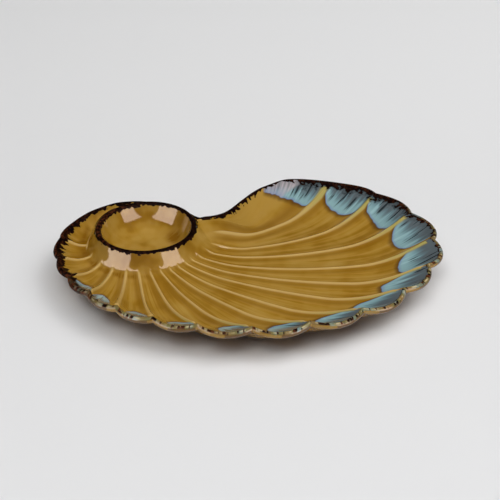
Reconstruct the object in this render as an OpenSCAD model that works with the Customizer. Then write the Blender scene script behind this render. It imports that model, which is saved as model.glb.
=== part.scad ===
// Stoneware shell platter with a dip bowl: a fluted spiral fan around a round bowl.
// Millimetres, +Z up. The rim's long way runs along X, the fan opens towards +X and -Y.

/* [Dip bowl] */

// Outer diameter of the bowl's rim
bowl_rim_d = 86; // [78:1:96]
// Width of the rounded rim
bowl_lip_w = 4.4; // [4:0.1:5]
// Height of the bowl's rim above the table
bowl_rim_h = 34; // [33:0.5:37]
// Depth of the well below the rim
well_depth = 20; // [17:0.5:22]
// Diameter of the well's flat floor
well_floor_d = 42; // [36:1:46]
// Radius between the well's floor and its wall
well_corner_r = 12; // [8:0.5:14]
// Thickness of the bowl's wall and floor
bowl_wall = 5; // [4:0.1:6]
// Height of the rim flange that rests on the tray's collar
flange_h = 3; // [2.5:0.1:4]
// Width of the flange that overhangs the collar
flange_w = 2; // [1.6:0.1:2.6]

/* [Shell tray] */

// Reach of the fan from the collar to its farthest rib end
fan_reach = 200; // [175:1:230]
// Number of lobes along the rim
lobes = 18; // [16:1:20]
// Height of the tray's rim above the table
tray_rim_h = 31; // [29:0.5:33]
// Thickness of the tray's floor
floor_t = 6; // [5:0.1:7]
// Thickness of the rim
rim_t = 5; // [4:0.1:6]
// Roundness of the rim's outer edge
lip_out = 2.2; // [1.5:0.1:3]
// Width of the band in which the wall rises to the rim
wall_rise_w = 58; // [45:1:65]
// Height that the collar drops steeply
collar_drop = 12; // [10:0.5:13]
// Width of the collar's steep part
collar_run = 8; // [7:0.5:10]
// Width of the gentle slope below the collar
apron_w = 45; // [35:1:50]
// Thickness of the collar, measured upright
collar_t = 9; // [7:0.5:11]

/* [Ribs and lobes] */

// Depth of a flute for each millimetre of its width
flute_share = 0.06; // [0.03:0.005:0.08]
// Height of a rib's rounded crest
rib_h = 1.2; // [0.6:0.1:1.6]
// Half width of a rib's crest
rib_w = 1.7; // [1.2:0.1:2.2]
// Outward swell of a lobe, for each square millimetre of its width
swell_share = 0.0037; // [0.002:0.0001:0.005]

/* [Feet] */

// Height of both feet
foot_h = 7; // [6:0.5:8]
// Width of the tray's foot ring
tray_foot_w = 7; // [5:0.5:9]
// Length of the tray's foot ring
tray_foot_l = 116; // [90:1:120]
// Breadth of the tray's foot ring
tray_foot_b = 76; // [60:1:80]
// Outer diameter of the bowl's foot ring
bowl_foot_d = 50; // [44:1:54]
// Width of the bowl's foot ring
bowl_foot_w = 6; // [5:0.5:8]

/* [Glaze] */

// Thickness of each glaze coat
glaze_t = 0.5; // [0.4:0.05:0.7]
// Length of the longest blue run, as a share of its flute
run_share = 0.2; // [0.12:0.01:0.24]

/* [Hidden] */

stoneware = "#B7A084";
bare_clay = "#A88C6A";
amber = "#A07A2A";
blue = "#6F979B";
brown = "#2E1810";

$fn = 96;

// Stations of the fan: lobe counted of 18, angle at the rim, share of the reach, angle at the collar.
stations = [
  [0, 21, 0.02, 21],
  [0.25, 28, 0.19, 19],
  [0.5, 36.5, 0.375, 17],
  [0.75, 36, 0.55, 15],
  [1, 27, 0.7, 13],
  [2, 17, 0.84, -2],
  [4, -3.5, 0.995, -31],
  [6, -23, 0.915, -49],
  [8, -44.5, 0.72, -66],
  [10, -69.5, 0.505, -85],
  [12, -96, 0.35, -110],
  [14, -128, 0.222, -141],
  [16, -169, 0.14, -173],
  [17, -200, 0.095, -200],
  [18, -266, 0.012, -266]
];
station_lobes = 18;
last = len(stations) - 1;

bowl_rim_r = bowl_rim_d / 2;
well_r = bowl_rim_r - bowl_lip_w;
land_z = bowl_rim_h - flange_h;
crown_z = tray_rim_h - glaze_t;
floor_z = foot_h + floor_t;
seat_gap = 0.4;
collar_r = bowl_rim_r + seat_gap;
neck_r = bowl_rim_r - flange_w;
land_r = neck_r + seat_gap;

// Smooth curve through the stations at place x, for column c.
function gap(i) = stations[i + 1][0] - stations[i][0];
function rise(i, j, c) = (stations[j][c] - stations[i][c]) / (stations[j][0] - stations[i][0]);
function slope(i, c) = rise(max(i - 1, 0), min(i + 1, last), c);
function span_of(x, i = 0) = i == last - 1 || x < stations[i + 1][0] ? i : span_of(x, i + 1);
function blend(a, b, ma, mb, t) =
  (2 * t ^ 3 - 3 * t ^ 2 + 1) * a + (t ^ 3 - 2 * t ^ 2 + t) * ma
  + (3 * t ^ 2 - 2 * t ^ 3) * b + (t ^ 3 - t ^ 2) * mb;
function along(x, c, i) = blend(stations[i][c], stations[i + 1][c],
  slope(i, c) * gap(i), slope(i + 1, c) * gap(i), (x - stations[i][0]) / gap(i));
function clamp(x) = min(max(x, 0), 1);
function smooth(x) = clamp(x) ^ 2 * (3 - 2 * clamp(x));
function place(s) = station_lobes * clamp(s / lobes);
function station(s, c) = along(place(s), c, span_of(place(s)));
function polar(a, r) = [r * cos(a), r * sin(a)];

// The line that joins the rib ends, and the lobes that swell out of it.
function rib_line(s) = polar(station(s, 1), collar_r + fan_reach * station(s, 2));
function along_line(s) = rib_line(s + 0.05) - rib_line(s - 0.05);
function outward(s) = [-along_line(s).y, along_line(s).x] / norm(along_line(s));
function lobe_of(s) = min(floor(s), lobes - 1);
function lobe_w(s) = min(46, norm(rib_line(lobe_of(s) + 1) - rib_line(lobe_of(s))));
function part_of(s) = s - lobe_of(s);
function arch(s) = 1 - (2 * part_of(s) - 1) ^ 2;
function calm(s) = s < 1 ? 0 : clamp((lobes - 0.4 - s) / 2.5) * clamp((s + 0.5) / 3);
function swell(s) = swell_share * lobe_w(s) ^ 2 * arch(s) * calm(s);
function rim_at(s) = rib_line(s) + outward(s) * swell(s);
function turn_of(p, near) = let (a = atan2(p.y, p.x)) a + 360 * round((near - a) / 360);

// A flute line: [lobe place, angle at the collar, turn, bend, reach, width at the rim].
function flute(s) =
  let (e = rim_at(s), a = station(s, 3))
  [s, a, turn_of(e, station(s, 1)) - a, 0.55 + 1.3 * exp(-(place(s) / 3.2) ^ 2),
    norm(e) - collar_r, lobe_w(s)];
function reach(q) = q[4];
function plan(q, v) = polar(q[1] + q[2] * v ^ q[3], collar_r + reach(q) * v);

// Height of the tray's face on flute line q at share v of its reach.
function collar_at(d) =
  (collar_drop * (1 - smooth(d / collar_run))
    + (land_z - floor_z - collar_drop) * clamp(1 - d / apron_w) ^ 2) / (land_z - floor_z);
function wall_at(q, v) = clamp(1 - reach(q) * (1 - v) / min(wall_rise_w, 0.9 * reach(q))) ^ 1.8;
function dish(q, v) = 1 - (1 - collar_at(reach(q) * v)) * (1 - wall_at(q, v));
function width_at(q, v) = 11 + (q[5] - 11) * v;
function fade(q, v) = smooth((reach(q) * v - 4) / 8);
function hollow(q, v) =
  min(flute_share * width_at(q, v), 0.12 * reach(q)) * arch(q[0]) * fade(q, v)
  * clamp(1.6 * v) * (1 - 0.45 * v ^ 4);
function crown(q) = crown_z + (bowl_rim_h - tray_rim_h) * (1 - smooth(reach(q) / 40));
function bare_face(q, v) =
  floor_z + (land_z + (crown(q) - land_z) * v - floor_z) * dish(q, v) - hollow(q, v);
function off_rib(q, v) = min(part_of(q[0]), 1 - part_of(q[0])) * width_at(q, v);
function rib(q, v) =
  rib_h * exp(-(off_rib(q, v) / rib_w) ^ 2) * fade(q, v) * smooth(reach(q) * (1 - v) / 8);
function face_z(q, v) = bare_face(q, v) + rib(q, v);
function thick(q, v) =
  floor_t + (rim_t - floor_t) * wall_at(q, v) + (collar_t - floor_t) * collar_at(reach(q) * v);
function back_z(q, v) = max(foot_h, bare_face(q, v) - thick(q, v));

// Lobe places of the flute lines, and the shares of the reach that the face and back take.
lobe_parts = [0, 0.07, 0.27, 0.5, 0.73, 0.93];
places = [
  each [for (i = [0:9]) i / 10],
  each [for (i = [1:lobes - 2]) each [for (f = lobe_parts) i + f]],
  each [for (i = [0:10]) lobes - 1 + i / 10]
];
flutes = [for (s = places) flute(s)];
rows = [0, 0.0125, 0.03, 0.05, 0.08, 0.13, 0.21, 0.32, 0.45, 0.58, 0.7, 0.8, 0.88, 0.94, 0.975, 1];
back_rows = [1, 0.94, 0.88, 0.8, 0.7, 0.58, 0.32, 0.13, 0.05, 0];
band = len(rows) - 2;
lip_turns = [60, 20, -20, -60];

function spot(q, v, z) = [plan(q, v).x, plan(q, v).y, z];
function face_row(q, a, b, up) = [for (k = [a:b]) spot(q, rows[k], face_z(q, rows[k]) + up)];
function lip_spot(q, t, grow) =
  let (p = plan(q, 1) + outward(q[0]) * (lip_out + grow) * cos(t))
  [p.x, p.y, face_z(q, 1) - rim_t / 2 + (rim_t / 2 + grow) * sin(t)];
function lip_row(q, grow) = [for (t = lip_turns) lip_spot(q, t, grow)];
function back_row(q) = [for (v = back_rows) spot(q, v, back_z(q, v))];
function seat_spot(q, z) = let (p = polar(q[1], land_r)) [p.x, p.y, z];

// Closed section of the tray on one flute line, and of the coats on it.
function tray_section(q) = [
  seat_spot(q, land_z), each face_row(q, 0, len(rows) - 1, 0), each lip_row(q, 0),
  each back_row(q), seat_spot(q, back_z(q, 0))
];
function there_and_back(a, b) = [each a, each [for (i = [len(b) - 1:-1:0]) b[i]]];
function face_coat(q) = there_and_back(face_row(q, 0, band, 0), face_row(q, 0, band, glaze_t));
function rim_coat(q) = there_and_back(
  [each face_row(q, band, len(rows) - 1, 0), each lip_row(q, 0)],
  [each face_row(q, band, len(rows) - 1, glaze_t), each lip_row(q, glaze_t)]);

// Blue run between two ribs: a rounded tongue from the rim band inwards. The first lobe has half a run.
function run_length(s) = run_share * clamp(1.25 - abs(place(s) - 3.5) / 5) + 0.05;
function run_places(i) = i == 0 ? [0.6, 0.7, 0.8, 0.9] : [for (f = lobe_parts) if (f > 0) i + f];
function tongue(u) = 0.3 + 0.7 * sqrt(1 - (2 * u - 1) ^ 2);
function run_shares(i, u) = let (b = rows[band], a = b - run_length(i + 0.5) * tongue(u))
  [for (k = [0:4]) a + (b - a) * k / 4];
function laid(q, v, up) = spot(q, v, lookup(v, [for (r = rows) [r, face_z(q, r)]]) + up);
function run_section(q, vs) = there_and_back(
  [for (v = vs) laid(q, v, 1.5 * glaze_t)], [for (v = vs) laid(q, v, 2.5 * glaze_t)]);
function run_sections(i) = let (ps = run_places(i), n = len(ps) - 1)
  [for (k = [0:n]) run_section(flute(ps[k]), run_shares(i, k / n))];

// Solid through a row of closed sections; turned is for sections that run the other way round.
module loft(sections, turned = false) {
  n = len(sections[0]);
  m = len(sections);
  quads = [for (j = [0:m - 2]) for (i = [0:n - 1]) let (k = (i + 1) % n)
    each [[j * n + i, j * n + n + i, j * n + n + k], [j * n + i, j * n + n + k, j * n + k]]];
  ends = [[for (i = [0:n - 1]) i], [for (i = [n - 1:-1:0]) (m - 1) * n + i]];
  faces = concat(quads, ends);
  polyhedron([for (s = sections) each s],
    turned ? [for (f = faces) [for (i = [len(f) - 1:-1:0]) f[i]]] : faces);
}

// The bowl's section: a flat floor, a round corner, a straight wall and a round lip.
function arc(c, r, a, b, n) = [for (i = [0:n]) c + polar(a + (b - a) * i / n, r)];
well_z = bowl_rim_h - well_depth - glaze_t;
lip_r = bowl_lip_w / 2 - glaze_t;
lip_c = [bowl_rim_r - glaze_t - lip_r, bowl_rim_h - glaze_t - lip_r];
corner_c = [well_floor_d / 2, well_z + well_corner_r];
lean = lip_c - corner_c;
wall_a = atan2(lean.y, lean.x) + asin((lip_r + well_corner_r) / norm(lean));
inward = [-sin(wall_a), cos(wall_a)];
wall_top = lip_c + inward * lip_r;
flange_r = bowl_rim_r - glaze_t;
function outer_r(z) = wall_top.x + bowl_wall / sin(wall_a) - (wall_top.y - z) / tan(wall_a);
neck_z = wall_top.y - (outer_r(wall_top.y) - neck_r) * tan(wall_a);
function well_path(t) = [
  [0, well_z + t], each arc(corner_c, well_corner_r - t, -90, wall_a - 90, 10), wall_top + inward * t];
function lip_path(t) = [
  each arc(lip_c, lip_r + t, wall_a + 90, 0, 10), [flange_r + t, land_z]];
bowl_path = [
  each well_path(0), each lip_path(0), [neck_r, land_z], [neck_r, neck_z],
  [outer_r(foot_h), foot_h], [0, foot_h]
];

foot_c = plan(flute(lobes * 4 / station_lobes), 0.44);
foot_turn = 60;
function oval(a, b) = [for (t = [0:5:355]) [a * cos(t), b * sin(t)]];

// The middle of the platter's outline on the table, which is the origin.
outline = [for (q = flutes) lip_spot(q, 0, glaze_t)];
xs = [each [for (p = outline) p.x], -bowl_rim_r, bowl_rim_r];
ys = [each [for (p = outline) p.y], -bowl_rim_r, bowl_rim_r];
middle = [min(xs) + max(xs), min(ys) + max(ys)] / 2;

module at_bowl() {
  translate([-middle.x, -middle.y, 0]) children();
}

// Stoneware fan: collar, flutes, ribs and scalloped rim on an even wall.
module shell_tray() {
  color(stoneware) at_bowl() loft([for (q = flutes) tray_section(q)]);
}

// Round bowl whose flange rests on the collar's land.
module dip_bowl() {
  color(stoneware) at_bowl() rotate_extrude() polygon(bowl_path);
}

// Oval foot under the fan's flat floor.
module tray_foot_ring() {
  color(bare_clay) at_bowl() translate(foot_c) rotate(foot_turn) linear_extrude(foot_h)
    difference() {
      polygon(oval(tray_foot_l / 2, tray_foot_b / 2));
      polygon(oval(tray_foot_l / 2 - tray_foot_w, tray_foot_b / 2 - tray_foot_w));
    }
}

// Round foot under the bowl.
module bowl_foot_ring() {
  color(bare_clay) at_bowl() rotate_extrude()
    translate([bowl_foot_d / 2 - bowl_foot_w, 0]) square([bowl_foot_w, foot_h]);
}

// Amber coat on the tray's face, up to the rim band.
module tray_glaze() {
  color(amber) at_bowl() loft([for (q = flutes) face_coat(q)], true);
}

// Amber coat inside the bowl.
module bowl_glaze() {
  color(amber) at_bowl() rotate_extrude() polygon(there_and_back(well_path(0), well_path(glaze_t)));
}

// Blue glaze that ran inwards from the rim, one tongue between each two ribs.
module blue_glaze_runs() {
  color(blue) at_bowl() for (i = [0:lobes - 5])
    loft(run_sections(i), true);
}

// Brown coat over the rim.
module tray_rim_glaze() {
  color(brown) at_bowl() loft([for (q = flutes) rim_coat(q)], true);
}

// Brown coat over the bowl's lip.
module bowl_rim_glaze() {
  color(brown) at_bowl() rotate_extrude() polygon(there_and_back(lip_path(0), lip_path(glaze_t)));
}

shell_tray();
dip_bowl();
tray_foot_ring();
bowl_foot_ring();
tray_glaze();
bowl_glaze();
blue_glaze_runs();
tray_rim_glaze();
bowl_rim_glaze();
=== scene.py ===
"""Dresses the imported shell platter: a fluted glazed tray, its dip bowl, two foot rings and the studio."""

import functools
import logging
import math
from dataclasses import dataclass
from enum import Enum
from typing import Any

import bpy
import numpy as np
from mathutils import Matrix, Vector


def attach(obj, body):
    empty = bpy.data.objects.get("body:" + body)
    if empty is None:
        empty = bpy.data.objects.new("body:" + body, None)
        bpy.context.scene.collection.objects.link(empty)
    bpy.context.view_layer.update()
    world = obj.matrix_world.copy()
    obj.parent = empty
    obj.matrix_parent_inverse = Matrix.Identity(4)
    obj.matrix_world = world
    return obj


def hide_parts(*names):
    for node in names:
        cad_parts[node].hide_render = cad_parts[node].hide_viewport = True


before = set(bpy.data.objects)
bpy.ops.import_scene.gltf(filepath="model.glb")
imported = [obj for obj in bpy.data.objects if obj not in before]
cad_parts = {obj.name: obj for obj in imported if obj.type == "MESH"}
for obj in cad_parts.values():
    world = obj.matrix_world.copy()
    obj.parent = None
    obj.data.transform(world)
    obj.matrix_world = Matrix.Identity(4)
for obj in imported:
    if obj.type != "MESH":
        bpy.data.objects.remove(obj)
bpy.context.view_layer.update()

LOG = logging.getLogger("shell_platter")
MM = 0.001
BODY = "root"
# Middles of the bowl and of the tray's foot in plan, in mm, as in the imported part.
BOWL_AXIS = (-86.93, 26.34)
FOOT_MIDDLE = (38.31, -11.96)
# A surface that mirrors nothing.
MATT = {"Roughness": 0.95, "Specular IOR Level": 0.0}

Array = np.ndarray
Material = bpy.types.Material
Pair = tuple[float, float]
Patterns = tuple[tuple[str, float, float, float], ...]
Piece = bpy.types.Object
Socket = bpy.types.NodeSocket
Table = tuple[tuple[float, ...], ...]

# What each point of a glazed piece carries, three numbers to a vector that the glaze reads.
CHANNELS = {
    # mm along the rim, mm in along the flute and mm from the brown edge, both below 0 over the lip.
    "flow": ("along", "inward", "gap"),
    # Length of the blue run mm, width of the brown band mm, and how worn the crown is.
    "coat": ("run", "band", "wear"),
    # Thin glaze on a rib, deep glaze in a pool with painted shade beside the ribs and in the bowl's corner
    # (below 0 it is paler), and the underside's share of painted shade.
    "form": ("crest", "pool", "under"),
    # Painted reflection of a lamp on the back lobe, mm out from the collar, and mm across the flutes as the
    # streaks count them.
    "veil": ("bloom", "out", "lane"),
}
# Stands for the mm out from the collar on points that aren't on the tray's face.
OFF_FACE = 99.0


class Slot(Enum):
    """Material slots of the record, handed to the pieces but not used for their finish."""

    AMBER = "amber_glaze"
    CLAY = "bare_clay"


def linear(code: str) -> tuple[float, float, float, float]:
    """Turns an sRGB colour, as #RRGGBB, to linear red, green, blue and alpha."""
    parts = [int(code[i:i + 2], 16) / 255 for i in (1, 3, 5)]
    return (*[c / 12.92 if c <= 0.04045 else ((c + 0.055) / 1.055) ** 2.4 for c in parts], 1.0)


def ease(x: Array) -> Array:
    """Smooth step from 0 to 1."""
    x = np.clip(x, 0, 1)
    return x * x * (3 - 2 * x)


def hump(x: Array, middle: float | Array, spread: float) -> Array:
    """Bell curve that is 1 at the middle and near 0 two spreads away."""
    return np.exp(-((x - middle) / spread) ** 2)


def follow(table: Table, x: Array) -> Array:
    """Value at x in a table of places and values, straight between its rows."""
    return np.interp(x, *np.array(table).T)


class Brush:
    """Paints one material: each method adds nodes to it and hands back the socket of their result."""

    def __init__(self, name: str) -> None:
        """Starts an empty material.

        Args:
            name: Material's name.
        """
        self.material = bpy.data.materials.new(name)
        self.material.use_nodes = True
        self.material.node_tree.nodes.clear()

    def put(self, kind: str, inputs: dict[Any, Any] | None = None, out: int | str = 0,
            **settings: Any) -> Socket:
        """Adds one shader node, sets it and links it.

        Args:
            kind: Node's type, without Blender's prefix.
            inputs: Value or linked socket for each input, by index or name.
            out: Output to hand back.
            **settings: Properties of the node.

        Returns:
            The output socket asked for.
        """
        tree = self.material.node_tree
        node = tree.nodes.new("ShaderNode" + kind)
        for key, value in settings.items():
            setattr(node, key, value)
        for key, value in (inputs or {}).items():
            if isinstance(value, Socket):
                tree.links.new(value, node.inputs[key])
            else:
                node.inputs[key].default_value = value
        return node.outputs[out] if len(node.outputs) else None

    def place(self) -> Socket:
        """Place on the piece, in metres."""
        return self.put("TexCoord", out="Object")

    def count(self, operation: str, *terms: Any) -> Socket:
        """Works out one sum of sockets and numbers, such as ADD or MULTIPLY_ADD."""
        return self.put("Math", dict(enumerate(terms)), operation=operation)

    def ramp(self, x: Any, start: float, end: float, low: float = 0.0, high: float = 1.0,
             smooth: bool = False) -> Socket:
        """Goes from low to high while x goes from start to end, with both ends rounded off if smooth."""
        inputs, way = {0: x, 1: start, 2: end, 3: low, 4: high}, "SMOOTHSTEP" if smooth else "LINEAR"
        return self.put("MapRange", inputs, interpolation_type=way)

    def noise(self, at: Socket, size: float, detail: float, rough: float = 0.5) -> Socket:
        """Cloudy pattern with clouds of one size, in the units of the place that it is read at."""
        inputs = {"Vector": at, "Scale": 1 / size, "Detail": detail, "Roughness": rough}
        return self.put("TexNoise", inputs)

    def mix(self, share: Any, low: Any, high: Any) -> Socket:
        """Goes from one number to another by a share."""
        return self.put("Mix", {0: share, 2: low, 3: high})

    def meet(self, *shares: Any) -> Socket:
        """Share where all the given shares meet."""
        return functools.reduce(functools.partial(self.count, "MULTIPLY"), shares)

    def lay(self, colour: Any, *layers: tuple[Any, Any]) -> Socket:
        """Lays colours over one another; each is a socket or an sRGB code.

        Args:
            colour: Colour underneath.
            *layers: Share and colour of each layer, from the lowest up.

        Returns:
            Socket of the colour on top.
        """
        for share, top in layers:
            under, over = (linear(c) if isinstance(c, str) else c for c in (colour, top))
            colour = self.put("Mix", {0: share, 6: under, 7: over}, 2, data_type="RGBA")
        return colour

    def fire(self, sockets: dict[str, Any]) -> Material:
        """Ends the material with a shader that takes the given values and sockets."""
        self.put("OutputMaterial", {0: self.put("BsdfPrincipled", sockets)})
        return self.material


@dataclass(frozen=True)
class ShellForm:
    """The fan's form, in mm round the bowl's axis: lines fan out from the collar to the scalloped rim."""

    lobes: int = 18
    reach: float = 200.0
    # Outward swell of a lobe for each square mm of its width, and the widest lobe that counts.
    swell: float = 0.0037
    widest_lobe: float = 46.0
    # Heights, and how the rim rises and tucks in where its ends meet the bowl.
    land_z: float = 31.0
    land_lift: float = 1.8
    crown_z: float = 30.5
    end_rise: float = 3.0
    end_tuck: float = 1.6
    foot_h: float = 7.0
    # Walls, and the width in which the outer wall rises.
    floor_t: float = 6.0
    rim_t: float = 5.0
    lip_out: float = 2.2
    collar_t: float = 9.0
    rise_w: float = 58.0
    # Collar with its steep part and its gentle apron.
    collar_r: float = 43.4
    collar_drop: float = 10.5
    collar_run: float = 9.3
    apron_w: float = 45.0
    # Hub where the rim dips in to meet the bowl: wider collar over the first lobes, and a gentle slope.
    hub_spread: float = 20.0
    hub_lobes: float = 4.0
    hub_place: float = 0.12
    hub_core: float = 10.0
    hub_w: float = 42.0
    hub_slope: float = 38.0
    valley_end: float = 0.6
    back_reach: float = 70.0
    # Flutes: depth for each mm of width, deepest share of the length, and width at the collar.
    flute: float = 0.06
    flute_limit: float = 0.12
    flute_w: float = 11.0
    back_flute_w: float = 30.0
    # Ribs: height, half width, and the lobe place where they end.
    rib_h: float = 1.2
    rib_w: float = 1.7
    rib_end: float = 16.4
    # Ridge in the tail: degrees round to the left, and mm out from the collar.
    tail_ridge: Table = ((160, 9), (170, 7.5), (180, 6), (195, 4.5), (215, 3.2), (250, 1.6))
    # How a flute line turns on its way out, along the lobe places: below 1 it turns most near the collar.
    bends: Table = (
        (0, 1.75), (0.6, 1.7), (1, 0.66), (2, 1.05), (3, 0.88), (4, 0.77), (5, 0.63), (6, 0.51), (8, 0.39),
        (10, 0.36))
    # Lobe place, rim angle, share of the reach and collar angle, along the rim.
    stations: Table = (
        (0, 44, -0.014, 44), (0.05, 24, 0.002, 24), (0.1, 15, 0.03, 15), (0.2, 20.9, 0.125, 13),
        (0.35, 31, 0.255, 12), (0.5, 36.2, 0.372, 11.2), (0.65, 36.8, 0.47, 10.6), (0.75, 36, 0.55, 10),
        (1, 27, 0.7, -5), (2, 17, 0.84, -10), (4, -3.5, 0.995, -31), (6, -23, 0.915, -50.5),
        (8, -44.5, 0.72, -71), (10, -69.5, 0.505, -89), (12, -96, 0.35, -111), (14, -128, 0.222, -141),
        (16, -169, 0.135, -173), (17, -200, 0.073, -200), (17.5, -233, 0.025, -233), (18, -282, -0.014, -282))

    def station(self, s: Array, column: int) -> Array:
        """Smooth value of one station column.

        Args:
            s: Lobe places.
            column: Column of the stations.

        Returns:
            Value at each place.
        """
        table = np.array(self.stations, float)
        x, y = table[:, 0], table[:, column]
        s = np.clip(s, 0, self.lobes)
        i = np.clip(np.searchsorted(x, s, side="right") - 1, 0, len(x) - 2)
        h = np.diff(x)
        slope = np.empty(len(x))
        slope[[0, -1]] = (np.diff(y) / h)[[0, -1]]
        slope[1:-1] = (y[2:] - y[:-2]) / (x[2:] - x[:-2])
        t = (s - x[i]) / h[i]
        return ((2 * t**3 - 3 * t**2 + 1) * y[i] + (t**3 - 2 * t**2 + t) * h[i] * slope[i]
                + (3 * t**2 - 2 * t**3) * y[i + 1] + (t**3 - t**2) * h[i] * slope[i + 1])

    def polar(self, degrees: Array, r: Array) -> Array:
        """Plan points at angles and radii."""
        a = np.radians(degrees)
        return np.stack([r * np.cos(a), r * np.sin(a)], -1)

    def rib_line(self, s: Array) -> Array:
        """Line in plan that joins the rib ends."""
        return self.polar(self.station(s, 1), self.collar_r + self.reach * self.station(s, 2))

    def outward(self, s: Array) -> Array:
        """Outward direction in plan at the rim."""
        t = self.rib_line(s + 0.05) - self.rib_line(s - 0.05)
        return np.stack([-t[..., 1], t[..., 0]], -1) / np.linalg.norm(t, axis=-1, keepdims=True)

    def lobe(self, s: Array) -> Array:
        """Number of the lobe at a place."""
        return np.clip(np.floor(s), 0, self.lobes - 1)

    def lobe_w(self, s: Array) -> Array:
        """Width of the lobe at the rim."""
        i = self.lobe(s)
        return np.minimum(self.widest_lobe, np.linalg.norm(self.rib_line(i + 1) - self.rib_line(i), axis=-1))

    def arch(self, s: Array) -> Array:
        """Rise from 0 at the ribs to 1 in the lobe's middle."""
        return 1 - (2 * (s - self.lobe(s)) - 1) ** 2

    def rim(self, s: Array) -> Array:
        """Scalloped rim in plan; the lobes calm down towards both ends, and the back lobe is plain."""
        swell = self.swell * self.lobe_w(s)**2 * self.arch(s) * np.where(
            s < 1, 0, np.clip((self.lobes - 0.4 - s) / 2.5, 0, 1) * np.clip((s + 0.5) / 3, 0, 1))
        return self.rib_line(s) + self.outward(s) * swell[..., None]


class Flutes:
    """Flute lines of the fan; each method takes v, the share of the way to the rim, for all lines."""

    def __init__(self, form: ShellForm, s: Array) -> None:
        """Sets up the lines.

        Args:
            form: The fan's form.
            s: Lobe place of each line.
        """
        self.form, self.s = form, s
        edge, near = form.rim(s), form.station(s, 1)
        angle = np.degrees(np.arctan2(edge[..., 1], edge[..., 0]))
        self.start = form.station(s, 3)
        self.turn = angle + 360 * np.round((near - angle) / 360) - self.start
        self.bend = follow(form.bends, s)
        self.at_hub = 1 - ease((s - 1) / form.hub_lobes)
        self.collar_run = form.collar_run + form.hub_spread * self.at_hub
        self.reach = np.linalg.norm(edge, axis=-1) - form.collar_r
        self.run_in = np.maximum(self.reach, 1.0)
        self.w, self.arch = form.lobe_w(s), form.arch(s)
        self.part = s - form.lobe(s)
        rise, tuck = 1 - ease(self.reach / 40), 1 - ease((self.reach + 2) / 8)
        self.crown = form.crown_z + form.end_rise * rise - form.end_tuck * tuck
        self.floor_z = form.foot_h + form.floor_t

    def angle(self, v: float) -> Array:
        """Degrees round the bowl's axis."""
        return self.start + self.turn * v**self.bend

    def plan(self, v: float) -> Array:
        """Plan points."""
        return self.form.polar(self.angle(v), self.form.collar_r + self.reach * v)

    def steep(self, v: float) -> Array:
        """Share of the collar's steep part."""
        return 1 - np.sin(np.pi / 2 * np.clip(self.reach * v / self.collar_run, 0, 1))

    def collar(self, v: float) -> Array:
        """Share of the collar's height: 1 on its edge, 0 on the floor."""
        f, height = self.form, self.form.land_z - self.floor_z
        return (f.collar_drop * self.steep(v) + (height - f.collar_drop)
                * np.clip(1 - self.reach * v / f.apron_w, 0, 1)**2) / height

    def wall(self, v: float) -> Array:
        """Share of the outer wall's rise."""
        rise_w = np.minimum(self.form.rise_w, 0.9 * self.run_in)
        return np.clip(1 - self.run_in * (1 - v) / rise_w, 0, 1)**1.8

    def width(self, v: float) -> Array:
        """Width of a flute."""
        near = np.where(self.s < 1, self.form.back_flute_w, self.form.flute_w)
        return near + (self.w - near) * v

    def fade(self, v: float) -> Array:
        """Share of the flutes, which fade out on the collar and earlier at the hub."""
        return ease((self.reach * v - 3 - 3 * self.at_hub) / (7 + 13 * self.at_hub))

    def hollow(self, v: float) -> Array:
        """Depth of a flute, which starts flat at the collar and is less deep at the rim."""
        depth = np.minimum(self.form.flute * self.width(v), self.form.flute_limit * self.run_in)
        return depth * self.arch * self.fade(v) * np.clip(1.6 * v, 0, 1) * (1 - 0.45 * v**4)

    def hub(self, v: float) -> tuple[Array, Array]:
        """Gentle slope where the rim dips in to meet the bowl.

        Args:
            v: Share of the way to the rim.

        Returns:
            How near the hub each point is, and the slope's share of the depth.
        """
        f, spot = self.form, self.plan(v)
        valley = f.rim(np.linspace(0, f.valley_end, 60))
        away = np.linalg.norm(spot[..., None, :] - valley, axis=-1).min(-1)
        from_hub = np.linalg.norm(spot - f.rim(np.array(f.hub_place)), axis=-1)
        return 1 - ease((from_hub - f.hub_core) / f.hub_w), ease(away / f.hub_slope)

    def bare(self, v: float) -> Array:
        """Height of the face without its ribs.

        Args:
            v: Share of the way to the rim.

        Returns:
            Height in mm.
        """
        f = self.form
        top = f.land_z + (self.crown - f.land_z) * v - self.floor_z
        lift = f.land_lift * self.steep(v) * ease((self.reach - 3) / 6)
        back = np.where(self.s < 1, ease(self.reach / f.back_reach), 1)
        dip = (1 - self.collar(v)) * (1 - self.wall(v)) * back
        near, gentle = self.hub(v)
        dip += near * (np.minimum(dip, gentle) - dip)
        return self.floor_z + top * (1 - dip) - self.hollow(v) + lift

    def rib(self, v: float) -> Array:
        """Round of a rib across the flutes: 1 on the crest, 0 off the rib."""
        off = np.minimum(self.part, 1 - self.part) * self.width(v)
        return hump(off, 0, self.form.rib_w * (0.85 + 0.35 * v + 0.9 * v**8)) * self.fade(v) \
            * (1 - ease((self.s - self.form.rib_end) / 0.3))

    def crest(self, v: float) -> Array:
        """Share of a rib's height, which is low on the collar and runs out before the crown."""
        ends = ease((self.reach * (1 - v) - 4) / 3)
        return self.rib(v) * ends * (0.4 + 0.6 * ease(self.reach * v / 30))

    def ridge(self, v: float) -> Array:
        """Ridge in the tail beside the bowl."""
        angle = self.angle(v)
        return hump(self.reach * v, follow(self.form.tail_ridge, -angle), 1.2) \
            * ease((-angle - 158) / 12) * ease((254 + angle) / 10)

    def stripe(self, v: float) -> Array:
        """Share of the thin glaze, which lies along the ribs and the tail's ridge."""
        return np.maximum(self.rib(v), 0.8 * self.ridge(v))

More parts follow.
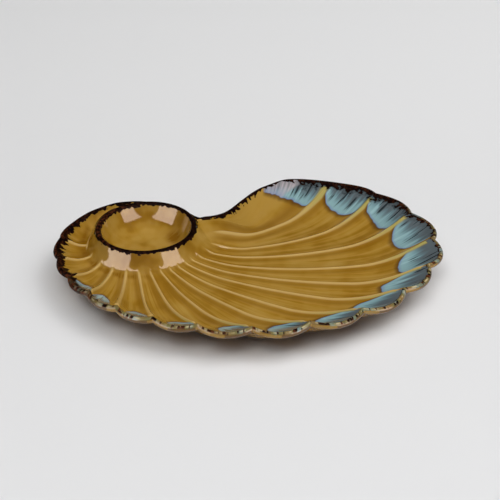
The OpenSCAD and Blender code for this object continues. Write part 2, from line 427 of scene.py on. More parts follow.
    def pool(self, v: float) -> Array:
        """How deep the glaze pools beside the ribs and in the crease by the collar, with painted shade that
        makes it deepest on the ribs' near side.

        Args:
            v: Share of the way to the rim.

        Returns:
            Share of the deep glaze and painted shade; below 0 the glaze is painted paler, as on the back
            lobe.
        """
        w, d = self.width(v), self.reach * v
        off_next = (1 - self.part) * w
        # Part of this band beside the ribs is painted shade on their near side.
        far = np.where(self.s < 1, 1.1 * hump(off_next, 6, 3.5), 0.55 * hump(off_next, 3.6, 1.8))
        beside = hump(self.part * w, 4.2, 2.6) + far
        crease = hump(d, 11, 2.4) * self.arch * ease((self.s - 9) / 4)
        deep = np.clip(0.75 * beside * self.fade(v) * ease(self.reach * (1 - v) / 12) + crease, 0, 1)
        # Below 0, beyond 20 mm out on the back lobe, the glaze is painted paler and calmer.
        return deep - 0.8 * (1 - deep) * ease((0.95 - self.s) / 0.12) * ease((d - 20) / 30)

    def face(self, v: float) -> Array:
        """Height of the face."""
        return self.bare(v) + self.form.rib_h * self.crest(v)

    def thick(self, v: float) -> Array:
        """Thickness of the clay under the face."""
        f, collar = self.form, self.collar(v) * ease((self.reach + 3) / 12)
        return f.floor_t + (f.rim_t - f.floor_t) * self.wall(v) + (f.collar_t - f.floor_t) * collar

    def back(self, v: float) -> Array:
        """Height of the underside, never below the top of the feet."""
        return np.maximum(self.form.foot_h, self.bare(v) - self.thick(v))


@dataclass(frozen=True)
class GlazeColours:
    """Colours of the reactive glazes, as they look where each one lies thick or thin."""

    amber: str = "#97701F"
    amber_pale: str = "#A8843A"
    # Deep amber of pooled glaze, also used for painted shade beside the ribs and under the tray.
    amber_deep: str = "#7C530A"
    crest: str = "#BF9F60"
    crest_olive: str = "#A39A55"
    milk: str = "#82A3A6"
    milk_pale: str = "#9FBFC2"
    violet: str = "#6F80A2"
    # Pale lavender of a painted reflection of a lamp on the back lobe.
    bloom: str = "#B9AEB0"
    blue: str = "#6A8A91"
    slate: str = "#565F63"
    drip: str = "#1F2528"
    halo: str = "#4C2E16"
    edge: str = "#2E1D1E"
    brown: str = "#0C0403"
    rust: str = "#60321B"
    tan: str = "#86693D"
    olive: str = "#6E6C42"
    rim_blue: str = "#81989A"
    # Pale line of a painted highlight along the crown.
    painted_crown_highlight: str = "#D6C39A"


class GlazeBrush(Brush):
    """Brush that looks up the numbers on the points and the patterns in the glaze by name."""

    def __init__(self, name: str, patterns: Patterns) -> None:
        """Starts the material.

        Args:
            name: Material's name.
            patterns: Patterns in the glaze.
        """
        super().__init__(name)
        self.here, self.known = self.place(), {}
        for attribute, channels in CHANNELS.items():
            vector = self.put("Attribute", out="Vector", attribute_name=attribute)
            split = self.put("SeparateXYZ", {0: vector})
            self.known.update(zip(channels, split.node.outputs))
        for pattern, across, down, detail in patterns:
            # Streaks fan out with the flutes; the other patterns keep their width along the rim.
            side = self["lane" if pattern == "streak" else "along"]
            way = self.put("CombineXYZ", {0: side, 1: self["inward"]})
            inputs = {0: way, 1: (1 / across, 1 / down, 0)}
            at = self.put("VectorMath", inputs, operation="MULTIPLY")
            self.known[pattern] = self.noise(at, 1.0, detail, 0.55)

    def __getitem__(self, name: str) -> Socket:
        """Socket of a channel or pattern."""
        return self.known[name]


@dataclass(frozen=True)
class ReactiveGlaze:
    """Gloss-fired reactive glaze: amber that breaks tan on the ribs, milky blue runs and brown rims."""

    name: str = "reactive_glaze_on_stoneware"
    colours: GlazeColours = GlazeColours()
    # A lead-free gloss glaze: IOR about 1.5 to 1.6, and smooth enough to mirror the lamps.
    ior: float = 1.58
    roughness: float = 0.08
    gloss: float = 0.5
    # The iron-rich brown fires to a satin that mirrors next to nothing.
    brown_roughness: float = 0.45
    brown_gloss: float = 0.02
    # Share of the amber's pattern that runs down in streaks; the rest is cloudy.
    streaky: float = 0.55
    # Patterns in the glaze: name, mm along the rim, mm along the flute, and octaves of finer detail.
    patterns: Patterns = (
        ("streak", 4, 70, 2), ("wander", 13, 16, 1), ("line", 2.6, 28, 1), ("shine", 3.8, 40, 1),
        ("tooth", 4.4, 90, 1.4), ("drop", 7, 60, 2), ("dash", 3.4, 12, 1), ("patch", 15, 60, 1),
        ("cluster", 11, 60, 1))
    # Sizes in metres of the patterns that don't follow the flutes.
    cloud_size: float = 0.022
    blob_size: float = 0.004
    spot_size: float = 0.003
    ripple_size: float = 0.007

    def material(self) -> Material:
        """Paints the glaze on points that carry the channels.

        Returns:
            The material.
        """
        b = GlazeBrush(self.name, self.patterns)
        colour, proud = self.runs(b, self.amber(b))
        colour, brown = self.rim(b, colour)
        satin = b.ramp(brown, 0, 1, self.roughness, self.brown_roughness)
        mirror = b.ramp(brown, 0, 1, self.gloss, self.brown_gloss)
        # Painted shade: the underside is darkened towards deep amber.
        colour = b.lay(colour, (b.meet(b["under"], 0.4), self.colours.amber_deep))
        # A fired gloss is never quite flat: it ripples, and the runs stand a little proud.
        ripple = b.noise(b.here, self.ripple_size, 1.0)
        height = b.count("MULTIPLY_ADD", ripple, 0.25, proud)
        normal = b.put("Bump", {"Height": height, "Strength": 0.25, "Distance": 0.0004})
        return b.fire({"Base Color": colour, "Roughness": satin, "IOR": self.ior, "Normal": normal,
                       "Specular IOR Level": mirror})

    def amber(self, b: GlazeBrush) -> Socket:
        """Amber coat: streaks that follow the flutes, clouds, deep pools and painted shade beside the ribs,
        and thin tan crests.

        Args:
            b: Brush that knows the channels and patterns.

        Returns:
            Socket of its colour.
        """
        c, inward, streak = self.colours, b["inward"], b["streak"]
        # Streaks and clouds, with clouds only on the collar, give the uneven honey tone.
        cloud = b.noise(b.here, self.cloud_size, 2.0)
        cloudy = b.ramp(b["out"], 25, 8, 1 - self.streaky, 1)
        both = b.mix(cloudy, streak, cloud)
        pale = b.ramp(both, 0.42, 0.64)
        deep = b.ramp(both, 0.48, 0.34, 0, 0.55)
        # Pools darken the glaze beside the ribs, with painted shade on their near side; where the value is
        # below 0 it is paler and calm.
        pooled_and_shaded = b.meet(b["pool"], b.ramp(streak, 0.3, 0.6, 0.45, 1))
        back_lobe_paler = b.ramp(b["pool"], 0, -1)
        # The ribs break to tan, and to olive where the blue has run beside them.
        thin = b.ramp(b["crest"], 0.2, 0.8, 0, 0.9, smooth=True)
        thin = b.meet(thin, b.ramp(inward, 2.5, 4.5))
        by_rim = b.meet(b.ramp(inward, 45, 18), thin, b.ramp(b["run"], 2, 5))
        return b.lay(c.amber, (pale, c.amber_pale), (deep, c.amber_deep), (back_lobe_paler, c.amber_pale),
                     (pooled_and_shaded, c.amber_deep), (thin, c.crest), (by_rim, c.crest_olive))

    def runs(self, b: GlazeBrush, amber: Socket) -> tuple[Socket, Socket]:
        """Blue runs: a milky tip with a violet fringe and a dark halo, slate and dark drips towards the rim,
        and a painted reflection over the first run.

        Args:
            b: Brush that knows the channels and patterns.
            amber: Colour underneath.

        Returns:
            Sockets of the colour and of the blue's share.
        """
        c, inward, run = self.colours, b["inward"], b["run"]
        # A wavering tip: mm inside it, and the share of the way from the rim to it.
        length = b.count("ADD", run, b.ramp(b["wander"], 0.3, 0.7, -1.1, 1.1))
        inside = b.count("SUBTRACT", length, inward)
        way = b.count("DIVIDE", inward, length)
        # The blue leaves the ribs bare, but for their last few mm.
        there = b.ramp(run, 2, 5)
        on_rib = b.meet(b.ramp(b["crest"], 0.4, 0.8), b.ramp(inward, 4.5, 5.5))
        off_rib = b.ramp(on_rib, 1, 0)
        share = b.ramp(inside, -0.2, 0.7, smooth=True)
        share = b.meet(share, there, off_rib, b.ramp(inward, -1.6, -0.4))
        halo = b.meet(b.ramp(inside, -4.5, 0, 0, 0.75, smooth=True), there, off_rib)
        fringe = b.ramp(inside, 3.6, 0.8, 0, 0.6, smooth=True)
        edge = b.ramp(inside, 1.1, 0.2, 0, 0.8, smooth=True)
        # Milky at the tip, blue and then slate towards the rim, with pale and dark threads along the run.
        middle = b.ramp(way, 0.8, 0.4)
        wavy = b.count("ADD", way, b.ramp(b["shine"], 0.3, 0.7, -0.2, 0.2))
        outer = b.ramp(wavy, 0.72, 0.22, smooth=True)
        shine = b.meet(b.ramp(b["shine"], 0.56, 0.7, 0, 0.5), b.ramp(way, 0.2, 0.5))
        lines = b.meet(b.ramp(b["line"], 0.6, 0.66, 0, 0.9), b.ramp(way, 0.92, 0.6))
        # A painted reflection of a lamp lies pale lavender over the first run, violet along its lower edge.
        bloom = b.meet(b.ramp(b["shine"], 0.35, 0.6, 0.2, 0.75), b["bloom"])
        low = b.meet(b.ramp(inside, 9, 2, 0, 0.45), b["bloom"])
        blue = b.lay(c.milk, (middle, c.blue), (shine, c.milk_pale), (outer, c.slate), (fringe, c.violet),
                     (lines, c.drip), (bloom, c.bloom), (low, c.violet), (edge, c.edge))
        return b.lay(amber, (halo, c.halo), (share, blue)), share

    def rim(self, b: GlazeBrush, colour: Socket) -> tuple[Socket, Socket]:
        """Brown rim: teeth run in from the crown, which wears to rust and breaks to tan, olive and pale blue,
        with a painted highlight along it.

        Args:
            b: Brush that knows the channels and patterns.
            colour: Colour underneath.

        Returns:
            Sockets of the colour on top and of the brown's share.
        """
        c, gap, run = self.colours, b["gap"], b["run"]
        band, wear = b["band"], b["wear"]
        # Teeth of uneven length, blunt over the blue, by the bowl and on its ring.
        blob = b.noise(b.here, self.blob_size, 1.0)
        tooth = b.mix(0.35, b["tooth"], b["drop"])
        for blunt in (b.ramp(run, 3, 8, 0, 0.75), b.ramp(wear, 0.14, 0.09, 0, 0.8), b.ramp(b["out"], 7, 6)):
            tooth = b.mix(blunt, tooth, blob)
        tooth = b.ramp(tooth, 0.36, 0.64, 0.3, 1.9)
        depth = b.count("SUBTRACT", b.count("MULTIPLY", band, tooth), gap)
        limit = b.ramp(b.count("MULTIPLY_ADD", band, 0.6, gap), -2.6, -1.4)
        share = b.meet(b.ramp(depth, -0.2, 0.35, smooth=True), limit)
        # Over the blue the brown bleeds out to a dark haze; on the crown it wears to rust.
        soft = b.meet(b.ramp(depth, -5, 0, 0, 0.8), b.ramp(band, 2, 4.5), b.ramp(run, 4, 9))
        spot = b.noise(b.here, self.spot_size, 3.0, 0.6)
        rusty = b.meet(b.ramp(spot, 0.46, 0.66), b.ramp(wear, 0, 0.3), b.ramp(gap, 3.5, -2, 0.25, 1))
        brown = b.lay(c.brown, (rusty, c.rust))
        colour = b.lay(colour, (soft, c.drip), (share, brown))
        # Along the front the crown is worn through in clusters of dashes, with a painted highlight as a pale
        # line along its top.
        crown = b.ramp(b.count("ABSOLUTE", b.count("ADD", gap, 1.2)), 2.3, 1.5)
        broken = b.mix(0.25, b["dash"], b["tooth"])
        broken = b.ramp(b.count("MULTIPLY_ADD", b["cluster"], 0.5, broken), 0.8, 0.77)
        crown = b.meet(crown, broken, b.ramp(wear, 0.3, 0.85))
        olive = b.ramp(b["patch"], 0.36, 0.56)
        pale = b.ramp(b["patch"], 0.54, 0.68)
        # Painted highlight: a pale thin line along the crown's top.
        line = b.ramp(b.count("ABSOLUTE", b.count("ADD", gap, 1.3)), 0.9, 0.3, 0, 0.9)
        line = b.meet(line, b.ramp(b["drop"], 0.48, 0.6, 0, 0.8))
        worn = b.lay(c.tan, (olive, c.olive), (pale, c.rim_blue), (line, c.painted_crown_highlight))
        return b.lay(colour, (crown, worn)), b.meet(share, b.ramp(crown, 1, 0))


@dataclass(frozen=True)
class BareClay:
    """Unglazed fired stoneware on a wiped foot: dry, warm buff, with dark iron grit."""

    name: str = "bare_stoneware"
    body: str = "#A88C6A"
    dark: str = "#8A6C4C"
    grit: str = "#4A3526"
    cloud_size: float = 0.008
    grit_size: float = 0.001

    def material(self) -> Material:
        """Paints the clay.

        Returns:
            The material.
        """
        b = Brush(self.name)
        place = b.place()
        # Soft clouds, and iron grit that shows as dark specks and roughens the surface.
        cloud = b.ramp(b.noise(place, self.cloud_size, 3.0), 0.35, 0.65)
        grain = b.noise(place, self.grit_size, 2.0)
        colour = b.lay(self.dark, (cloud, self.body), (b.ramp(grain, 0.66, 0.74), self.grit))
        normal = b.put("Bump", {"Height": grain, "Strength": 0.35, "Distance": 0.0003})
        return b.fire({"Base Color": colour, "Roughness": 0.82, "IOR": 1.5, "Normal": normal})


def add_piece(name: str, kind: str, **settings: Any) -> Piece:
    """Adds a plain mesh at the origin, to be worked into a piece.

    Args:
        name: Piece's name.
        kind: Plain mesh to start from, grid or circle.
        **settings: Settings of the operator.

    Returns:
        The piece.
    """
    bpy.ops.object.select_all(action="DESELECT")
    getattr(bpy.ops.mesh, f"primitive_{kind}_add")(location=(0, 0, 0), **settings)
    piece = bpy.context.active_object
    piece.name = piece.data.name = name
    return piece


def edit(piece: Piece, mode: str) -> None:
    """Makes one piece the only one selected and opens a mode on it.

    Args:
        piece: The piece.
        mode: EDIT or OBJECT.
    """
    if bpy.context.mode != "OBJECT":
        bpy.ops.object.mode_set(mode="OBJECT")
    bpy.ops.object.select_all(action="DESELECT")
    piece.select_set(True)
    bpy.context.view_layer.objects.active = piece
    bpy.ops.object.mode_set(mode=mode)


def pick(action: str = "SELECT") -> None:
    """Selects or lets go of all of the mesh that is being edited."""
    bpy.ops.mesh.select_all(action=action)


def close_up(piece: Piece) -> None:
    """Merges a piece's seams, fills its ends, turns its faces outwards and smooths it.

    Args:
        piece: The piece.
    """
    edit(piece, "EDIT")
    pick()
    bpy.ops.mesh.remove_doubles(threshold=1e-6)
    bpy.ops.mesh.fill_holes(sides=0)
    pick()
    bpy.ops.mesh.normals_make_consistent(inside=False)
    edit(piece, "OBJECT")
    bpy.ops.object.shade_smooth()


def points_of(piece: Piece) -> Array:
    """Places of a piece's points in metres, one row each."""
    return np.array([point.co for point in piece.data.vertices])


def store(piece: Piece, values: dict[str, Array]) -> None:
    """Keeps the channels that the glaze reads on a piece's points.

    Args:
        piece: The piece.
        values: Number of each channel for all points.
    """
    for name, channels in CHANNELS.items():
        layer = piece.data.attributes.new(name, "FLOAT_VECTOR", "POINT")
        columns = np.stack([values[channel] for channel in channels], -1)
        layer.data.foreach_set("vector", columns.astype(np.float32).ravel())


def seat(piece: Piece, finish: Material, slot: Slot, *nodes: str) -> None:
    """Finishes a piece and lets it ride on the platter in place of CAD nodes.

    Args:
        piece: The piece.
        finish: Its material.
        slot: Material slot that it would take its finish from; not used.
        *nodes: CAD nodes that it stands for.
    """
    piece.data.materials.append(finish)
    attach(piece, BODY)
    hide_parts(*nodes)
    LOG.info("%s: %d faces, stands for %s", piece.name, len(piece.data.polygons), ", ".join(nodes))


@dataclass(frozen=True)
class BlueRun:
    """Blue run on one lobe: its longest mm, and the parts of the lobe where it starts, peaks and ends."""

    longest: float
    first: float
    peak: float
    last: float
    # How square its tip is: 1 is pointed and 2 is round.
    square: float = 2.0

    def length(self, part: Array) -> Array:
        """Length in mm at each part of the lobe."""
        side = np.where(part < self.peak, (self.peak - part) / (self.peak - self.first),
                        (part - self.peak) / (self.last - self.peak))
        return self.longest * (1 - np.clip(side, 0, 1) ** self.square) ** (1 / self.square)


@dataclass
class ShellTray:
    """Fluted fan with its collar, scalloped rim and glaze, as one closed skin."""

    form: ShellForm
    axis: Pair
    finish: Material
    glaze_t: float = 0.5
    columns_per_lobe: int = 28
    end_columns: int = 64
    face_rows: int = 110
    lip_rows: int = 12
    back_rows: int = 36
    # mm that each lobe counts for in the streaks.
    lane_w: float = 32.0
    # The brown band is told by its distance to the rim, so it ends this many mm in along the flute.
    band_in: float = 25.0
    band_fade: float = 20.0
    # Blue run of each lobe; the lobes past the last one have none.
    runs: tuple[BlueRun, ...] = (
        BlueRun(28, 0.54, 0.95, 1.01, 1.1), BlueRun(31.5, 0.0, 0.62, 1.06), BlueRun(27.5, -0.02, 0.66, 1.1),
        BlueRun(31, 0.0, 0.45, 0.84, 2.4), BlueRun(33.5, -0.02, 0.35, 0.8, 2.4),
        BlueRun(35.5, 0.02, 0.27, 0.7, 2.2), BlueRun(33.5, 0.03, 0.3, 0.76), BlueRun(28.5, 0.02, 0.23, 0.58),
        BlueRun(25, 0.02, 0.2, 0.52), BlueRun(22, 0.02, 0.18, 0.46), BlueRun(18, 0.03, 0.29, 0.6),
        BlueRun(18, 0.1, 0.38, 0.7), BlueRun(20, 0.2, 0.52, 0.84), BlueRun(16, -0.04, 0.2, 0.86, 1.6))
    # Width of the brown rim band mm, and the wear of the crown, along the lobe places.
    bands: Table = (
        (0, 5.5), (0.15, 5.5), (0.3, 3.2), (0.53, 2.6), (0.62, 1.5), (0.78, 1.8), (0.85, 5.2), (1.1, 5),
        (2, 4.8), (2.7, 3.8), (3.3, 3), (4, 1.8), (6, 1.2), (9, 1.0), (11.5, 1.2), (12.5, 2), (13.3, 4),
        (14, 6), (16, 6.5), (16.8, 4.5), (17.3, 2.2), (18, 1.6))
    wears: Table = (
        (0, 0.05), (0.7, 0.1), (1.2, 0.2), (2.4, 0.25), (3, 0.5), (3.7, 0.75), (5, 0.85), (6.5, 1), (11, 1),
        (12, 0.8), (13, 0.5), (14, 0.3), (16.5, 0.28), (17.3, 0.1), (18, 0.05))

    def places(self) -> Array:
        """Lobe places of the mesh columns, closer together at the ribs.

        Returns:
            Places from 0 to the last lobe's end.
        """
        out = []
        for i in range(self.form.lobes):
            n = self.end_columns if i in (0, self.form.lobes - 1) else self.columns_per_lobe
            u = np.arange(n) / n
            out.append(i + u - 0.75 * np.sin(2 * np.pi * u) / (2 * np.pi))
        return np.append(np.concatenate(out), self.form.lobes)

    def rim_gap(self, points: Array, rim: Array) -> Array:
        """Distance from points to the rim line.

        Args:
            points: Points of the face.
            rim: Points of the rim line in order.

        Returns:
            Distance of each point in mm.
        """
        a, step = rim[:-1], np.diff(rim, axis=0)
        off = points[:, None] - a
        share = np.clip((off * step).sum(-1) / np.maximum((step**2).sum(-1), 1e-9), 0, 1)
        return np.linalg.norm(off - step * share[..., None], axis=-1).min(1)

    def first_paint(self, s: Array) -> dict[str, Array]:
        """Channels as every row of the skin has them before it adds its own.

        Args:
            s: Lobe places of the columns.

        Returns:
            Number of each channel for the columns.
        """
        paint = {channel: np.zeros_like(s) for channels in CHANNELS.values() for channel in channels}
        paint["along"][1:] = np.cumsum(np.linalg.norm(np.diff(self.form.rim(s), axis=0), axis=1))
        for lobe, run in enumerate(self.runs):
            paint["run"] = np.where(self.form.lobe(s) == lobe, run.length(s - lobe), paint["run"])
        paint["band"], paint["wear"] = follow(self.bands, s), follow(self.wears, s)
        paint["out"], paint["lane"] = np.full_like(s, OFF_FACE), self.lane_w * s
        return paint

    def face_row(self, lines: Flutes, v: float, crown: Array, paint: dict[str, Array]) -> dict[str, Array]:
        """One row of the glazed face.

        Args:
            lines: Flute lines, one to a column.
            v: Share of the way to the rim.
            crown: Points of the crown.
            paint: Channels that the row starts from.

        Returns:
            The row's points and channels.
        """
        s, out, inward = lines.s, lines.reach * v, lines.reach * (1 - v)
        spot = self.glazed(lines, v)
        band = paint["band"] * (1 - ease((inward - self.band_in) / self.band_fade))
        # Painted reflection of a lamp: a pale patch on the back lobe with a sharp slanted edge.
        bloom = ease((s - 0.5) / 0.06) * ease((0.86 - 0.006 * inward - s) / 0.025)
        # The bowl's brown ring drips a little onto the collar, most at the front.
        ring = out < np.minimum(5, 0.4 * lines.run_in)
        drip = 1.1 - 0.5 * np.sin(np.radians(lines.start))
        from_edge = np.linalg.norm(spot - self.glazed(lines, 0), axis=1)
        return {**paint, "spot": spot, "inward": inward, "out": out, "bloom": bloom,
                "gap": np.where(ring, from_edge, self.rim_gap(spot, crown)),
                "band": np.where(ring, drip, band), "wear": np.where(ring, 0.1, paint["wear"]),
                "crest": lines.stripe(v), "pool": lines.pool(v)}

    def glazed(self, lines: Flutes, v: float) -> Array:
        """Points on top of the face's glaze."""
        return np.column_stack([lines.plan(v), lines.face(v) + self.glaze_t])

    def skin(self) -> dict[str, Array]:
        """Rows of the skin, from the collar's edge over the face and lip and back under the tray.

        Returns:
            Grids of the points in mm and of the channels.
        """
        f, t, lines = self.form, self.glaze_t, Flutes(self.form, self.places())
        crown, out, paint = self.glazed(lines, 1), f.outward(lines.s), self.first_paint(lines.s)
        rows = [self.face_row(lines, v, crown, paint) for v in np.linspace(0, 1, self.face_rows) ** 1.5]
        # The lip is half an ellipse, as high as the rim is thick.
        r = (f.rim_t + t) / 2
        for a in np.linspace(np.pi / 2, -np.pi / 2, self.lip_rows + 2)[1:-1]:
            over = np.full_like(lines.s, -r * (np.pi / 2 - a))
            plan = crown[:, :2] + out * (f.lip_out + t) * math.cos(a)
            # The underside's painted shade grows over the lower half of the lip.
            under = np.full_like(lines.s, ease((0.2 - math.sin(a)) / 1.2))
            spot = np.column_stack([plan, crown[:, 2] - r + r * math.sin(a)])
            rows.append({**paint, "spot": spot, "inward": over, "gap": over, "under": under})
        for v in np.linspace(1, 0, self.back_rows) ** 1.3:
            over = -np.pi * r - np.maximum(lines.reach, 0) * (1 - v)
            spot = np.column_stack([lines.plan(v), lines.back(v)])
            # Under the tray the painted shade is full.
            rows.append({**paint, "spot": spot, "inward": over, "gap": over, "under": np.ones_like(over)})
        rows.append(rows[0])
        return {name: np.stack([row[name] for row in rows]) for name in rows[0]}

    def build(self) -> None:
        """Makes the tray."""
        skin = self.skin()
        spot = skin.pop("spot") + np.array([*self.axis, 0])
        last_row, last_column = spot.shape[0] - 1, spot.shape[1] - 1
        piece = add_piece("glazed_shell_tray", "grid", size=1, x_subdivisions=last_column,
                          y_subdivisions=last_row)
        flat = points_of(piece) + 0.5
        column = np.round(flat[:, 0] * last_column).astype(int)
        row = np.round(flat[:, 1] * last_row).astype(int)
        piece.data.vertices.foreach_set("co", (spot[row, column] * MM).ravel())
        store(piece, {channel: grid[row, column] for channel, grid in skin.items()})
        piece.data.update()
        close_up(piece)
        nodes = ("shell_tray", "tray_glaze", "blue_glaze_runs", "tray_rim_glaze")
        seat(piece, self.finish, Slot.AMBER, *nodes)


@dataclass
class DipBowl:
    """Round dip bowl with a rolled lip that sits on the tray's collar."""

    axis: Pair
    finish: Material
    floor_z: float = 14.0
    # Lean of the well's wall at its top, its radius upright, and its lean where the floor's corner starts.
    wall_lean: float = 66.0
    wall_r: float = 65.0
    corner_lean: float = 54.0
    rim_r: float = 43.0
    lip_r: float = 2.2
    lip_mid: Pair = (40.8, 31.8)
    base_z: float = 7.0
    base_r: float = 26.0
    neck_r: float = 41.0
    land_z: float = 31.0
    steps: int = 160

    @staticmethod
    def arc(top: Array, r: float, leans: Array) -> Array:
        """Hollow arc down and in from a point: radius and height at each lean of the wall, in radians."""
        drop = np.stack([np.sin(leans[0]) - np.sin(leans), np.cos(leans) - np.cos(leans[0])], -1)
        return np.asarray(top) - r * drop

    def section(self) -> Array:
        """Half section from the well's middle over the lip to the base's middle.

        Returns:
            Radius and height of each point, in mm.
        """
        lean, turn = math.radians(self.wall_lean), math.radians(self.corner_lean)
        roll = np.linspace(lean + np.pi / 2, 0, 18)
        x, z = self.lip_mid
        lip = np.array([(x + self.lip_r * math.cos(a), z + self.lip_r * math.sin(a)) for a in roll])
        wall = self.arc(lip[0], self.wall_r, np.linspace(lean, turn, 18))
        corner_r = (wall[-1, 1] - self.floor_z) / (1 - math.cos(turn))
        corner = self.arc(wall[-1], corner_r, np.linspace(turn, 0, 24))
        floor = [(r, self.floor_z) for r in np.linspace(0, corner[-1, 0], 12)[:-1]]
        neck_r, land_z = self.neck_r, self.land_z
        skirt = [(x + self.lip_r, land_z), (neck_r, land_z), (neck_r, land_z - 2)]
        under = np.linspace((neck_r, land_z - 3), (self.base_r, self.base_z), 14)
        base = [(r, self.base_z) for r in np.linspace(self.base_r, 0, 8)[1:]]
        return np.array([*floor, *corner[:0:-1], *wall[:0:-1], *lip, *skirt, *under, *base])

    def build(self) -> None:
        """Makes the bowl."""
        path = self.section()
        x, y = self.axis[0] * MM, self.axis[1] * MM
        piece = add_piece("glazed_dip_bowl", "circle", vertices=len(path), radius=0.05, fill_type="NOTHING")
        points = np.stack([path[:, 0] * MM + x, np.full(len(path), y), path[:, 1] * MM], -1)
        piece.data.vertices.foreach_set("co", points.ravel())
        piece.data.update()
        # The circle's edge from the last point to the first goes, and the section is spun.
        edit(piece, "EDIT")
        pick("DESELECT")
        edit(piece, "OBJECT")
        ends = {0, len(path) - 1}
        for edge in piece.data.edges:
            edge.select = set(edge.vertices) == ends
        edit(piece, "EDIT")
        bpy.ops.mesh.delete(type="EDGE")
        pick()
        bpy.ops.mesh.spin(steps=self.steps, angle=2 * math.pi, center=(x, y, 0), axis=(0, 0, 1))
        edit(piece, "OBJECT")
        close_up(piece)
        self.mark(piece, path)
        seat(piece, self.finish, Slot.AMBER, "dip_bowl", "bowl_glaze", "bowl_rim_glaze")

    def mark(self, piece: Piece, path: Array) -> None:
        """Keeps what the glaze reads on the bowl's points.

        Args:
            piece: The bowl.
            path: Its half section.
        """
        x, y, z = (points_of(piece) / MM - np.array([*self.axis, 0])).T
        r, angle = np.hypot(x, y), np.arctan2(y, x)
        length = np.concatenate([[0], np.cumsum(np.linalg.norm(np.diff(path, axis=0), axis=1))])
        near = np.argmin((r[:, None] - path[:, 0]) ** 2 + (z[:, None] - path[:, 1]) ** 2, axis=1)
        over = length[near] - length[np.argmax(path[:, 1])]
        inside, none = over < 0, np.zeros_like(r)
        # The ring covers the lip's round; teeth run down the well on the left and down the front outside.
        gap = np.maximum(np.where(inside, -over - 2.2, over - 2.6), -1.0)
        band = np.where(inside, 1.2 + 0.6 * np.cos(angle - 2.9), 1.2 + 0.5 * np.cos(angle + 1.6))
        # Painted shade darkens the amber on the right, where the floor meets the wall.
        pool = 1.6 * hump(angle, 0.42, 0.36) * hump(r, 25, 6) * inside
        # The bowl's outside below the lip takes the underside's painted shade.
        store(piece, {
            "along": angle * self.rim_r, "inward": np.abs(over), "gap": gap,
            "run": none, "band": band, "wear": 0.05 + 0.25 * np.clip(-np.cos(angle), 0, 1)**2,
            "crest": none, "pool": pool, "under": (over > 9).astype(float),
            "bloom": none, "out": np.full_like(r, OFF_FACE), "lane": angle * self.rim_r})


@dataclass
class FootRing:
    """Bare clay foot ring that the platter stands on, in place of a CAD node."""

    name: str
    node: str
    middle: Pair
    size: Pair
    wall: float
    finish: Material
    turn: float = 0.0
    height: float = 7.0
    edge_r: float = 0.9

    def build(self) -> None:
        """Makes the ring."""
        half = [side / 2 * MM for side in self.size]
        piece = add_piece(self.name, "circle", vertices=96, radius=1, fill_type="NGON")
        edit(piece, "EDIT")
        pick()
        bpy.ops.transform.resize(value=(*half, 1), center_override=(0, 0, 0))
        bpy.ops.transform.rotate(value=-math.radians(self.turn), orient_axis="Z", center_override=(0, 0, 0))
        bpy.ops.transform.translate(value=Vector((*self.middle, 0)) * MM)
        bpy.ops.mesh.inset(thickness=self.wall * MM, depth=0)
        bpy.ops.mesh.delete(type="FACE")
        pick()
        bpy.ops.mesh.extrude_region_move(TRANSFORM_OT_translate={"value": (0, 0, self.height * MM)})
        pick()
        bpy.ops.mesh.normals_make_consistent(inside=False)
        edit(piece, "OBJECT")
        soften = piece.modifiers.new("soft_edges", "BEVEL")
        soften.width, soften.segments, soften.limit_method = self.edge_r * MM, 3, "ANGLE"
        bpy.ops.object.modifier_apply(modifier=soften.name)
        bpy.ops.object.shade_smooth_by_angle(angle=math.radians(40))
        seat(piece, self.finish, Slot.CLAY, self.node)


class LampUse(Enum):
    """What a lamp does: light the platter unseen, or only show in its gloss."""

    UNSEEN = "unseen"
    MIRRORED = "mirrored"


@dataclass(frozen=True)
class Hung:
    """Something hung round the platter: degrees to the camera's right, degrees up and metres away."""

    azimuth: float
    elevation: float
    distance: float

    def hang(self, thing: Piece) -> None:
        """Places a lamp or flag there, facing the platter.

        Args:
            thing: The lamp or flag.
        """
        a, e = math.radians(self.azimuth), math.radians(self.elevation)
        way = Vector((math.sin(a) * math.cos(e), -math.cos(a) * math.cos(e), math.sin(e)))
        thing.location = way * self.distance
        thing.rotation_euler = (-way).to_track_quat("-Z", "Y").to_euler()


@dataclass(frozen=True)
class SoftBox(Hung):
    """One soft box, with its size in metres and its power in watts."""

    name: str
    size: Pair
    power: float
    use: LampUse = LampUse.UNSEEN
    tone: str = "#FFFFFF"

    def build(self) -> None:
        """Hangs the soft box."""
        data = bpy.data.lights.new(self.name, "AREA")
        data.shape, data.size, data.size_y = "RECTANGLE", *self.size
        data.energy, data.color = self.power, linear(self.tone)[:3]
        box = bpy.data.objects.new(self.name, data)
        self.hang(box)
        box.visible_diffuse = self.use is LampUse.UNSEEN
        box.visible_glossy = self.use is LampUse.MIRRORED
        bpy.context.scene.collection.objects.link(box)


@dataclass(frozen=True)
class BlackFlag(Hung):
    """Round black flag before the cards, with half its width and height in metres."""

    half_w: float
    half_h: float
    dark: str = "#0C0C0C"
    pale: str = "#141414"
    hem: float = 0.02
    weave_size: float = 0.0025

    def build(self) -> None:
        """Hangs the flag, which shows as a dark round in the gloss."""
        flag = add_piece("black_flag", "circle", vertices=64, radius=1, fill_type="NGON")
        edit(flag, "EDIT")
        pick()
        bpy.ops.transform.resize(value=(self.half_w, self.half_h, 1), center_override=(0, 0, 0))
        bpy.ops.mesh.inset(thickness=self.hem, depth=0)
        edit(flag, "OBJECT")
        self.hang(flag)
        flag.visible_camera = flag.visible_diffuse = flag.visible_shadow = False
        b = Brush("black_cloth")
        weave = b.noise(b.place(), self.weave_size, 2.0)
        tone = b.lay(self.dark, (weave, self.pale))
        flag.data.materials.append(b.fire({"Base Color": tone, **MATT}))


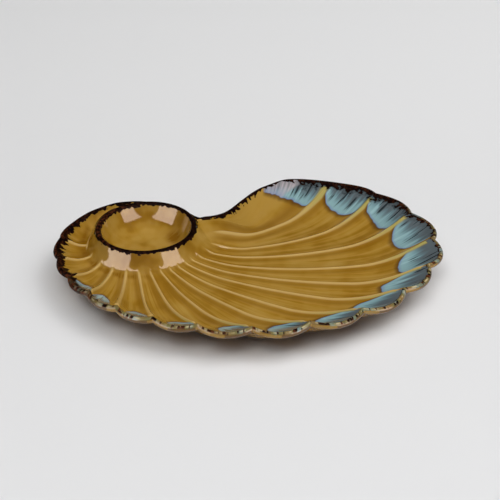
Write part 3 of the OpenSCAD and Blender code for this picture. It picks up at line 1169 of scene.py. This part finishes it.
@dataclass
class Studio:
    """Pale sweep of floor, soft boxes and the camera at the photo's viewing angle."""

    aim: tuple[float, float, float] = (1.94, 17.17, 15.0)
    eye: tuple[float, float, float] = (1.94, -684.8, 462.2)
    lens: float = 70.0
    sensor: float = 36.0
    floor_tone: str = "#E0E0E0"
    cloud_tone: str = "#DEDEDF"
    # Paler floor far behind: painted light that makes up for the lamps falling off.
    far_painted_light_tone: str = "#F2F2F2"
    cloud_size: float = 1 / 1.2
    room_tone: str = "#F4F4F8"
    room_light: float = 0.05
    lamps: tuple[SoftBox, ...] = (
        SoftBox(20, 74, 3.0, "top_box", (4.0, 2.0), 66),
        SoftBox(80, 52, 3.0, "side_box", (1.8, 1.8), 30),
        SoftBox(-12, 52, 3.0, "front_box", (1.4, 1.0), 23),
        SoftBox(33.2, 17, 1.3, "right_card", (1.91, 1.14), 37, LampUse.MIRRORED, "#FFE9DC"),
        SoftBox(-42, 17, 1.3, "left_card", (2.1, 1.14), 41, LampUse.MIRRORED, "#FFE9DC"))
    flags: tuple[BlackFlag, ...] = (BlackFlag(-0.5, 22, 1.0, 0.62, 0.36), BlackFlag(0, 8, 1.0, 0.7, 0.2))

    def camera(self) -> None:
        """Sets up the camera, with its eye and aim in mm."""
        data = bpy.data.cameras.new("camera")
        data.lens, data.sensor_width = self.lens, self.sensor
        eye = bpy.data.objects.new("camera", data)
        eye.location = Vector(self.eye) * MM
        eye.rotation_euler = (Vector(self.aim) - Vector(self.eye)).to_track_quat("-Z", "Y").to_euler()
        bpy.context.scene.collection.objects.link(eye)
        bpy.context.scene.camera = eye

    def floor(self) -> None:
        """Lays the floor, a matt paper painted paler behind the platter, as painted light that makes up for
        the lamps falling off.
        """
        floor = add_piece("studio_floor", "grid", x_subdivisions=4, y_subdivisions=4, size=60)
        b = Brush("matt_studio_paper")
        place = b.place()
        cloud = b.noise(place, self.cloud_size, 1.0)
        # Painted light: the paper turns paler away from the camera.
        away = b.ramp(b.put("SeparateXYZ", {0: place}, 1), 0.1, 0.8)
        tone = b.lay(self.floor_tone, (cloud, self.cloud_tone), (away, self.far_painted_light_tone))
        floor.data.materials.append(b.fire({"Base Color": tone, **MATT}))

    def build(self) -> None:
        """Sets up the whole studio."""
        self.camera()
        self.floor()
        for hung in (*self.flags, *self.lamps):
            hung.build()
        world = bpy.data.worlds.new("soft_room")
        world.use_nodes = True
        room = world.node_tree.nodes["Background"].inputs
        room["Color"].default_value, room["Strength"].default_value = linear(self.room_tone), self.room_light
        bpy.context.scene.world = world
        bpy.context.scene.view_settings.view_transform = "Standard"


def main() -> None:
    """Builds the platter and its studio in order."""
    logging.basicConfig(level=logging.INFO, format="%(name)s: %(message)s")
    glaze, clay = ReactiveGlaze().material(), BareClay().material()
    well_glaze = ReactiveGlaze("reactive_glaze_in_the_bowl", streaky=0.08).material()
    ShellTray(ShellForm(), BOWL_AXIS, glaze).build()
    DipBowl(BOWL_AXIS, well_glaze).build()
    FootRing("tray_foot", "tray_foot_ring", FOOT_MIDDLE, (116, 76), 7, clay, turn=60).build()
    FootRing("bowl_foot", "bowl_foot_ring", BOWL_AXIS, (50, 50), 6, clay).build()
    Studio().build()
    LOG.info("boxes written")


if __name__ == "__main__":
    main()
